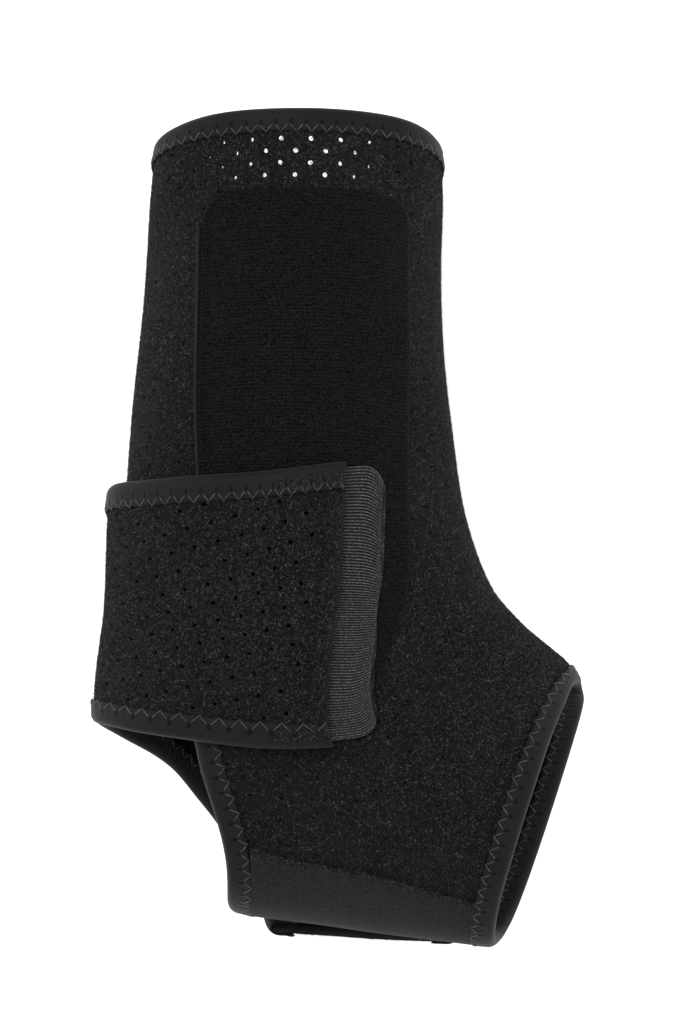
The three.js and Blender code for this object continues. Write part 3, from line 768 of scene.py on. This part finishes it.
def start_material(name, colour, roughness, sheen, gloss=0.1):
    """A material with its Principled BSDF, its Object coordinates and its UV map."""
    material = bpy.data.materials.new(name)
    material.use_nodes = True
    material.diffuse_color = (*colour, 1)
    tree = material.node_tree
    tree.nodes.clear()
    shader = add_node(tree, "ShaderNodeBsdfPrincipled", {"Roughness": roughness})
    shader.inputs["Sheen Weight"].default_value = sheen
    shader.inputs["Sheen Roughness"].default_value = 0.4
    shader.inputs["Specular IOR Level"].default_value = gloss
    add_node(tree, "ShaderNodeOutputMaterial", {"Surface": shader.outputs[0]})
    space = tree.nodes.new("ShaderNodeTexCoord").outputs["Object"]
    spot = add_node(tree, "ShaderNodeUVMap", uv_map="cloth").outputs[0]
    split = add_node(tree, "ShaderNodeSeparateXYZ", {0: spot})
    return tree, shader, space, split.outputs


def add_bump(tree, shader, height, strength, distance):
    """Feeds a height to the shader's normal."""
    inputs = {"Height": height, "Strength": strength, "Distance": distance}
    feed(tree, shader.inputs["Normal"], add_node(tree, "ShaderNodeBump", inputs).outputs[0])


def use_group(tree, name, inputs):
    """Places a node group with its values."""
    group = bpy.data.node_groups[name]
    return add_node(tree, "ShaderNodeGroup", inputs, node_tree=group).outputs


def use_grain(tree, space, fine, clumps, patches):
    """Places the grain group."""
    inputs = {"Vector": space, "Fine": fine, "Clumps": clumps, "Patches": patches}
    return use_group(tree, "matted_grain", inputs)


def use_ribs(tree, space, along, pitch, wander):
    """Places the rib group."""
    inputs = {"Vector": space, "Along": along, "Pitch": pitch, "Wander": wander}
    return use_group(tree, "knit_ribs", inputs)["Rib"]


def shade(colour, factor):
    """A colour made darker or lighter, with alpha."""
    return (*[channel * factor for channel in colour], 1)


def colour_between(tree, shader, share, colour, dark, light):
    """Colours a shader between a darker and a lighter shade of one colour."""
    mixed = blend_colours(tree, share, shade(colour, dark), shade(colour, light))
    feed(tree, shader.inputs["Base Color"], mixed)


def build_pile_material(name, colour):
    """Brushed pile on foam fabric."""
    tree, shader, space, _ = start_material(name, colour, 0.9, 0.03)
    grain = use_grain(tree, space, 2400.0, 800.0, 70.0)
    base = blend_colours(tree, grain["Grain"], shade(colour, 0.05), shade(colour, 1.4))
    patched = blend_colours(tree, grain["Patch"], shade(colour, 0.8), base)
    feed(tree, shader.inputs["Base Color"], patched)
    add_bump(tree, shader, grain["Grain"], 0.8, 0.0005)


def build_fibre_material(name, colour):
    """One fibre of the pile, each with a shade of its own; the brightest shades are painted glints.
    """
    tree, shader, _, uv = start_material(name, colour, 0.7, 0.0, 0.04)
    # Shades up to 23 times the pile's colour are painted glints
    colour_between(tree, shader, uv["X"], colour, 0.05, 23.0)


def build_tape_material(name, colour, sizes):
    """Smooth stretch tape with fine cross ribs, and needle holes with painted shade."""
    tree, shader, space, uv = start_material(name, colour, 0.62, 0.06)
    ribs = use_ribs(tree, space, uv["X"], 0.55, 0.3)
    grain = use_grain(tree, space, 3000.0, 500.0, 90.0)
    inputs = {"Along": uv["X"], "Inwards": uv["Y"], "Pitch": sizes.stitch_pitch / MM,
              "Row": TAPE_WIDTH + STITCH_OVER - sizes.stitch_width / MM - NEEDLE_ASIDE}
    hole = use_group(tree, "needle_holes", inputs)["Hole"]
    soft = blend_colours(tree, grain["Grain"], shade(colour, 0.8), shade(colour, 1.3))
    patched = blend_colours(tree, grain["Patch"], shade(colour, 0.85), soft)
    # Painted shade: the tape's colour goes dark in its needle holes
    hole_shaded = blend_colours(tree, hole, patched, shade(colour, 0.1))
    feed(tree, shader.inputs["Base Color"], hole_shaded)
    height = weigh(tree, ribs, 0.25, grain["Grain"], 0.35)
    height = math_node(tree, "SUBTRACT", height, math_node(tree, "MULTIPLY", hole, 2.0))
    add_bump(tree, shader, height, 0.5, 0.0002)


def build_knit_material(name, colour):
    """Knit with fine ribs across the panel, and painted shade of puckers along its back edge."""
    tree, shader, space, uv = start_material(name, colour, 0.85, 0.02, 0.06)
    ribs = use_ribs(tree, space, uv["X"], 0.95, 0.35)
    grain = use_grain(tree, space, 3500.0, 1700.0, 60.0)["Grain"]
    lit = ramp(tree, weigh(tree, ribs, 0.16, grain, 0.84), 0.16, 0.86)
    # Painted shade: the puckers along the back edge are only darker stripes in the colour
    pucker_shade = use_ribs(tree, space, uv["X"], 1.02, 0.25)
    held = math_node(tree, "MULTIPLY", ramp(tree, uv["Y"], 0.6, 3.6, 1.0, 0.0), pucker_shade)
    lit = math_node(tree, "SUBTRACT", lit, math_node(tree, "MULTIPLY", held, 0.55))
    colour_between(tree, shader, lit, colour, 0.03, 2.9)
    add_bump(tree, shader, math_node(tree, "ADD", ribs, grain), 0.6, 0.0003)


def build_smooth_material(name, colour):
    """Smooth close knit of the sole panel."""
    tree, shader, space, uv = start_material(name, colour, 0.8, 0.04)
    ribs = use_ribs(tree, space, uv["Y"], 0.6, 0.5)
    grain = use_grain(tree, space, 3200.0, 1400.0, 80.0)["Grain"]
    lit = weigh(tree, ribs, 0.25, grain, 0.75)
    colour_between(tree, shader, lit, colour, 0.25, 1.9)
    add_bump(tree, shader, lit, 0.5, 0.0002)


def build_hook_material(name, colour):
    """Woven hook tape: hooks in rows with painted highlights, and painted shade in the grooves."""
    tree, shader, space, uv = start_material(name, colour, 0.55, 0.0, 0.2)
    # The troughs between the rows are painted shade, near black in the colour
    rows = use_ribs(tree, space, uv["Y"], TAB_RIB_PITCH, 0.1)
    cells = add_node(tree, "ShaderNodeTexVoronoi", {"Vector": space, "Scale": 2600.0})
    # Bright specks on the hooks are painted highlights
    hook_highlight = ramp(tree, cells.outputs["Distance"], 0.1, 0.45, 1.0, 0.0)
    hook_highlight = math_node(tree, "MULTIPLY_ADD", hook_highlight, 0.9, 0.15)
    lit = math_node(tree, "MULTIPLY", ramp(tree, rows, 0.3, 0.8), hook_highlight)
    colour_between(tree, shader, lit, colour, 0.01, 8.0)
    add_bump(tree, shader, lit, 0.5, 0.0003)


def build_thread_material(name, colour):
    """Twisted sewing thread; its light grey colour is partly painted sheen."""
    tree, shader, space, _ = start_material(name, colour, 0.4, 0.0, 0.4)
    grain = use_grain(tree, space, 5000.0, 900.0, 200.0)
    colour_between(tree, shader, grain["Grain"], colour, 0.2, 1.7)


class BraceSizes(bpy.types.PropertyGroup):
    """Sizes of the finish"""

    stitch_pitch: FloatProperty(
        name="Stitch pitch", description="Length of one zigzag", default=0.0043, unit="LENGTH"
    )
    stitch_width: FloatProperty(
        name="Stitch width", description="Width of a zigzag", default=0.0028, unit="LENGTH"
    )
    thread: FloatProperty(
        name="Thread", description="Diameter of the thread", default=0.00027, unit="LENGTH"
    )
    fibre_length: FloatProperty(
        name="Fibre length", description="Length of a fibre", default=0.00095, unit="LENGTH"
    )
    fibre_width: FloatProperty(
        name="Fibre width", description="Width of a fibre", default=0.00013, unit="LENGTH"
    )
    hole_radius: FloatProperty(
        name="Hole radius", description="Radius of a hole", default=0.00068, unit="LENGTH"
    )
    sleeve_fibres: IntProperty(
        name="Sleeve fibres", description="Fibres tried on the sleeve", default=300000
    )
    strap_fibres: IntProperty(
        name="Strap fibres", description="Fibres tried on the strap", default=120000
    )


class BraceColours(bpy.types.PropertyGroup):
    """Colours of the finish"""

    pile: FloatVectorProperty(
        name="Pile", description="Brushed pile", default=(0.010, 0.010, 0.011), subtype="COLOR"
    )
    tape: FloatVectorProperty(
        name="Tape", description="Binding tape", default=(0.0086, 0.0086, 0.0096), subtype="COLOR"
    )
    knit: FloatVectorProperty(
        name="Knit", description="Knitted panel", default=(0.0042, 0.0042, 0.0044), subtype="COLOR"
    )
    smooth: FloatVectorProperty(
        name="Sole panel", description="Sole panel", default=(0.0125, 0.0123, 0.0117), subtype="COLOR"
    )
    hook: FloatVectorProperty(
        name="Hook tab", description="Woven hook tab", default=(0.03, 0.03, 0.0295), subtype="COLOR"
    )
    # The thread's light grey is partly painted sheen
    thread: FloatVectorProperty(
        name="Thread", description="Sewing thread", default=(0.055, 0.055, 0.058), subtype="COLOR"
    )
    floor: FloatVectorProperty(
        name="Floor", description="Studio floor", default=(0.9, 0.9, 0.9), subtype="COLOR"
    )


class BRACE_OT_materials(bpy.types.Operator):
    """Builds the node groups and materials of the brace"""

    bl_idname = "brace.materials"
    bl_label = "Materials"

    def execute(self, context):
        colours, sizes = context.scene.brace_colours, context.scene.brace_sizes
        build_grain_group()
        build_rib_group()
        build_needle_group()
        build_pile_material("brushed_pile", colours.pile)
        build_fibre_material("pile_fibre", colours.pile)
        build_tape_material("smooth_tape", colours.tape, sizes)
        build_knit_material("ribbed_knit", colours.knit)
        build_smooth_material("sole_knit", colours.smooth)
        build_hook_material("hook_weave", colours.hook)
        build_thread_material("thread", colours.thread)
        return {"FINISHED"}


class BRACE_OT_sleeve(bpy.types.Operator):
    """Lays the perforated sleeve, open at calf, toes and heel"""

    bl_idname = "brace.sleeve"
    bl_label = "Sleeve"

    def execute(self, context):
        shares = np.linspace(0, 1, 600)
        line = FACE.read(0.5, shares)[0]
        far = np.concatenate([[0], np.cumsum(np.linalg.norm(np.diff(line, axis=0), axis=1))])
        pitch = BAND_PITCH / HOLE_STEP
        band = pitch * BAND_ROWS
        rest = round((far[-1] - band) / REST_PITCH)
        wanted = np.arange(BAND_ROWS) * pitch, np.linspace(band, far[-1], rest + 1)
        rows = np.interp(np.concatenate(wanted), far, shares)
        count = len(rows) - 1

        def along_at(row):
            return np.interp(row, np.arange(count + 1), rows)

        def place(k, t):
            return 2 * t - 1, along_at(k * count), 0 * k

        def has_hole(turn, row):
            turns, odd_turn = divmod(turn, HOLE_STEP)
            lines, odd_row = divmod(row - FIRST_ROW, HOLE_STEP)
            if odd_turn or odd_row or (turns + lines) % 2:
                return False
            around = 2 * turn / SLEEVE_STEPS - 1
            near_heel = heel_oval(around, along_at(row)) < HEEL_CLEAR
            if near_heel and around < HEEL_SIDE * HEEL.half_around:
                return False
            return FIRST_ROW <= row < count - END_ROWS and FOLD < turn < SLEEVE_STEPS - FOLD

        bm = patch(place, count, SLEEVE_STEPS, (far[-1], SLEEVE_GIRTH))
        grid = {v: divmod(v.index, count + 1) for v in bm.verts}
        inner = []
        for f in bm.faces:
            turn, row = (sum(spot) / 4 for spot in zip(*(grid[v] for v in f.verts)))
            if heel_oval(2 * turn / SLEEVE_STEPS - 1, along_at(row)) < HEEL_CUT:
                inner.append(f)
        bmesh.ops.delete(bm, geom=inner, context="FACES")
        radius = context.scene.brace_sizes.hole_radius / MM
        in_band, others = [], []
        for v, (turn, row) in grid.items():
            if has_hole(turn, row) and v.is_valid and not v.is_boundary:
                near_calf = row < BAND_ROWS and turn > SLEEVE_STEPS / 2
                (in_band if near_calf else others).append(v)
        perforate(bm, in_band, radius * BAND_HOLES)
        perforate(bm, others, radius * OTHER_HOLES)
        bmesh.ops.remove_doubles(bm, verts=bm.verts, dist=MERGE)
        face = set(bm.verts)
        thicken(bm, WALL)
        for v in bm.verts:
            if v not in face and v.co.y > CALF_Y and v.co.z > CALF_Z:
                v.co.y += CALF_HOLE_LEAN
        finish_piece(bm, "sleeve_fabric", "brushed_pile", "pile", "sleeve")
        return {"FINISHED"}


class BRACE_OT_pile(bpy.types.Operator):
    """Grows the short fibres of the sleeve and of the strap"""

    bl_idname = "brace.pile"
    bl_label = "Pile"

    def execute(self, context):
        sizes = context.scene.brace_sizes
        rng = np.random.default_rng(4)
        around = rng.uniform(0, 1, sizes.sleeve_fibres)
        around -= rng.random(sizes.sleeve_fibres) < FAR_WALL_SHARE
        along = rng.uniform(0, 1, sizes.sleeve_fibres)
        shown = bare_pile(around, along)
        sleeve = around[shown], along[shown], np.zeros(shown.sum())
        k = rng.uniform(0, 1, SOLE_FIBRES)
        t = SOLE_FIBRES_FROM - SOLE_FIBRES_OVER * rng.beta(1, 2.5, SOLE_FIBRES)
        sole_top = np.full(SOLE_FIBRES, GAP + SOLE_PANEL_WALL - 0.1)
        make_pile("sleeve_pile", [sleeve, (*sole_panel_place(k, t), sole_top)], 5)

        # Stretches of the strap: from its end and from its lower edge, in millimetres
        seen = STRAP_LENGTH * SEEN_SHARE
        cloth = PILE_EDGE, STRAP_WIDTH - PILE_EDGE
        upper_fold = STRAP_WIDTH - 5.6, STRAP_WIDTH - 1.9
        half = sizes.strap_fibres // 2
        on_tape = STRAP_WALL + TAPE_TOP
        stretches = (
            (half, (END_TAPE_WIDTH, seen), cloth, STRAP_WALL),
            (half, (seen, STRAP_LENGTH), cloth, STRAP_WALL),
            (3500, (0.2, END_TAPE_WIDTH), (6.8, STRAP_WIDTH - 6.8), on_tape),
            (1700, (0.3, 18.5), upper_fold, on_tape),
            (1100, (0.3, 13.0), (1.9, 5.4), on_tape),
        )
        make_pile("strap_pile", [strap_fibres(rng, *stretch) for stretch in stretches], 6)
        return {"FINISHED"}


class BRACE_OT_rim_tapes(bpy.types.Operator):
    """Folds tapes over the calf, toe and heel edges and stitches them"""

    bl_idname = "brace.rim_tapes"
    bl_label = "Rim Tapes"

    def execute(self, context):
        for part, edge in (
            ("calf", rim_edge(0.0, 1.0)), ("toe", rim_edge(1.0, -1.0)), ("heel", heel_edge),
        ):
            make_tape(part + "_tape", part + "_binding", edge, -WALL, 0, TAPE_WIDTH, True)
            make_stitches(part + "_stitches", edge, -WALL, 0, TAPE_WIDTH)
        return {"FINISHED"}


class BRACE_OT_panels(bpy.types.Operator):
    """Lays the knitted panel with its piping and the sole panel"""

    bl_idname = "brace.panels"
    bl_label = "Panels"

    def execute(self, context):
        length = line_length(lambda k: (*panel_place(k, 0.5), 0 * k))

        def panel(k, t):
            k = k ** PANEL_CROWD
            around, along = panel_place(k, t)
            rim = np.minimum(np.minimum(t, 1 - t) * PANEL_WIDTH, k * length)
            return around, along, PANEL_TOP - rim_drop(rim, *PANEL_RIM)

        bm = patch(panel, *PANEL_GRID, (length, PANEL_WIDTH))
        uv = bm.loops.layers.uv["cloth"]
        for f in bm.faces:
            for loop in f.loops:
                loop[uv].uv.x = (loop[uv].uv.x / length) ** PANEL_CROWD * length
        thicken(bm, PANEL_WALL * KNIT_SHARE)
        finish_piece(bm, "ribbed_panel", "ribbed_knit", "knit", "knit_panel")

        def piping(k, t):
            share = PIPING_START + (1 - PIPING_START) * k
            back = catmull_rom([(r.back, r.along) for r in PANEL], share)
            one = np.ones_like(k)
            distance = GAP + PIPING_WIDTH * t
            around, along = step_on(back[:, 0], back[:, 1], -one, 0 * one, distance)
            return around, along, GAP + PANEL_WALL * np.sqrt(np.clip(1 - (2 * t - 1) ** 2, 0, 1))

        bm = patch(piping, *PIPING_GRID, (length, 1))
        thicken(bm, PIPING_CLOTH)
        finish_piece(bm, "piped_seam", "smooth_tape", "tape", "panel_piping")

        def sole(k, t):
            around, along = sole_panel_place(k, t)
            rim = np.minimum(np.minimum(t, 1 - t) * SOLE_WIDTH, np.minimum(k, 1 - k) * SOLE_LENGTH)
            return around, along, GAP + SOLE_PANEL_WALL - rim_drop(rim, *SOLE_RIM)

        bm = patch(sole, *SOLE_GRID, (SOLE_LENGTH, SOLE_WIDTH))
        thicken(bm, SOLE_PANEL_WALL * KNIT_SHARE)
        finish_piece(bm, "sole_knit_panel", "sole_knit", "smooth", "sole_panel")
        return {"FINISHED"}


class BRACE_OT_strap(bpy.types.Operator):
    """Wraps the perforated strap with its tapes round the ankle"""

    bl_idname = "brace.strap"
    bl_label = "Strap"

    def execute(self, context):
        def place(k, t):
            around, along, lift = strap_place(k, t)
            seam = 1 - smooth_rise(np.abs(k * STRAP_LENGTH - HEM_LINE), *HEM_SIDES)
            return around, along, lift + STRAP_WALL - HEM_GROOVE * seam

        bm = patch(place, STRAP_STEPS, STRAP_WIDTHS, (STRAP_LENGTH, STRAP_WIDTH))
        chosen = []
        for v in bm.verts:
            j, i = divmod(v.index, STRAP_STEPS + 1)
            on_pattern = not (i % 2 or j % 2) and strap_hole_at(i // 2, j // 2)
            clear = TAPE_CELLS <= j <= STRAP_WIDTHS - TAPE_CELLS
            if on_pattern and clear and END_CELLS < i < STRAP_STEPS * HOLES_SHARE:
                chosen.append(v)
        perforate(bm, chosen, context.scene.brace_sizes.hole_radius / MM)
        thicken(bm, STRAP_WALL)
        finish_piece(bm, "strap_fabric", "brushed_pile", "pile", "wrap_strap")
        for part, edge in (("lower", strap_edge(0.0)), ("upper", strap_edge(1.0))):
            node = f"strap_{part}_binding"
            make_tape(f"strap_{part}_tape", node, edge, 0, STRAP_WALL, TAPE_WIDTH, False)
            make_stitches(f"strap_{part}_stitches", edge, 0, STRAP_WALL, TAPE_WIDTH)
        make_tape(
            "strap_end_tape", "strap_end_binding", strap_end_edge, 0, STRAP_WALL, END_TAPE_WIDTH,
            False, False, "brushed_pile",
        )
        return {"FINISHED"}


class BRACE_OT_hook_tab(bpy.types.Operator):
    """Lays the woven hook tab that holds the strap's end"""

    bl_idname = "brace.hook_tab"
    bl_label = "Hook Tab"

    def execute(self, context):
        length = TAB_REACH + TAB_ROOT

        def place(k, t):
            k = k ** TAB_CROWD
            around, along = tab_place(k, t)
            rib = TAB_RIB * np.sin(2 * np.pi * t * STRAP_WIDTH / TAB_RIB_PITCH)
            rim = np.minimum(k * length, np.minimum(t, 1 - t) * STRAP_WIDTH)
            return around, along, TAB_LIFT + TAB_WALL + rib - rim_drop(rim, *TAB_RIM)

        bm = patch(place, *TAB_GRID, (length, STRAP_WIDTH))
        thicken(bm, TAB_WALL * WOVEN_SHARE)
        finish_piece(bm, "hook_tape", "hook_weave", "hook", "hook_tab")
        return {"FINISHED"}


class BRACE_OT_stage(bpy.types.Operator):
    """Sets the floor, the soft studio light and the camera"""

    bl_idname = "brace.stage"
    bl_label = "Stage"

    def execute(self, context):
        scene = context.scene
        floor_mesh = bpy.data.meshes.new("floor")
        bm = bmesh.new()
        low = Matrix.Translation((0, 0, -FLOOR_DROP))
        bmesh.ops.create_grid(bm, x_segments=1, y_segments=1, size=FLOOR_SIZE, matrix=low)
        bm.to_mesh(floor_mesh)
        bm.free()
        floor = bpy.data.objects.new("floor", floor_mesh)
        scene.collection.objects.link(floor)
        material = bpy.data.materials.new("studio_floor")
        material.use_nodes = True
        shader = material.node_tree.nodes["Principled BSDF"]
        shader.inputs["Base Color"].default_value = (*scene.brace_colours.floor, 1)
        shader.inputs["Roughness"].default_value = 0.9
        shader.inputs["Emission Color"].default_value = (1, 1, 1, 1)
        shader.inputs["Emission Strength"].default_value = FLOOR_GLOW
        floor_mesh.materials.append(material)

        world = bpy.data.worlds.new("studio")
        world.use_nodes = True
        background = world.node_tree.nodes["Background"]
        background.inputs["Color"].default_value = (1, 1, 1, 1)
        background.inputs["Strength"].default_value = WORLD_LIGHT
        scene.world = world
        for lamp in LAMPS:
            light = bpy.data.lights.new(lamp.name, "AREA")
            light.shape = "DISK"
            light.size = lamp.size
            light.energy = lamp.power
            holder = bpy.data.objects.new(lamp.name, light)
            holder.location = lamp.place
            holder.rotation_euler = (-Vector(lamp.place)).to_track_quat("-Z", "Y").to_euler()
            scene.collection.objects.link(holder)

        camera = bpy.data.objects.new("camera", bpy.data.cameras.new("camera"))
        camera.data.sensor_fit = "VERTICAL"
        camera.data.sensor_height = SENSOR
        camera.data.lens = SENSOR * LENS_PIXELS / FRAME_HEIGHT
        camera.location = CAMERA_PLACE
        camera.data.clip_start = 0.01
        scene.collection.objects.link(camera)
        scene.camera = camera
        scene.view_settings.view_transform = "Standard"
        return {"FINISHED"}


class BRACE_PT_panel(bpy.types.Panel):
    """Lists the pieces of the brace"""

    bl_label = "Ankle Brace"
    bl_space_type = "VIEW_3D"
    bl_region_type = "UI"
    bl_category = "Ankle Brace"

    def draw(self, context):
        for operator in STEPS:
            self.layout.operator(operator.bl_idname)


STEPS = (
    BRACE_OT_stage,
    BRACE_OT_materials,
    BRACE_OT_sleeve,
    BRACE_OT_rim_tapes,
    BRACE_OT_panels,
    BRACE_OT_strap,
    BRACE_OT_hook_tab,
    BRACE_OT_pile,
)
CLASSES = (BraceSizes, BraceColours, *STEPS, BRACE_PT_panel)


def register():
    for cls in CLASSES:
        bpy.utils.register_class(cls)
    bpy.types.Scene.brace_sizes = PointerProperty(type=BraceSizes)
    bpy.types.Scene.brace_colours = PointerProperty(type=BraceColours)


def unregister():
    del bpy.types.Scene.brace_sizes
    del bpy.types.Scene.brace_colours
    for cls in reversed(CLASSES):
        bpy.utils.unregister_class(cls)


def dress_brace():
    """Builds every piece in order."""
    register()
    bpy.ops.brace.stage()
    bpy.ops.brace.materials()
    bpy.ops.brace.sleeve()
    bpy.ops.brace.rim_tapes()
    bpy.ops.brace.panels()
    bpy.ops.brace.strap()
    bpy.ops.brace.hook_tab()
    bpy.ops.brace.pile()


if __name__ == "__main__":
    dress_brace()
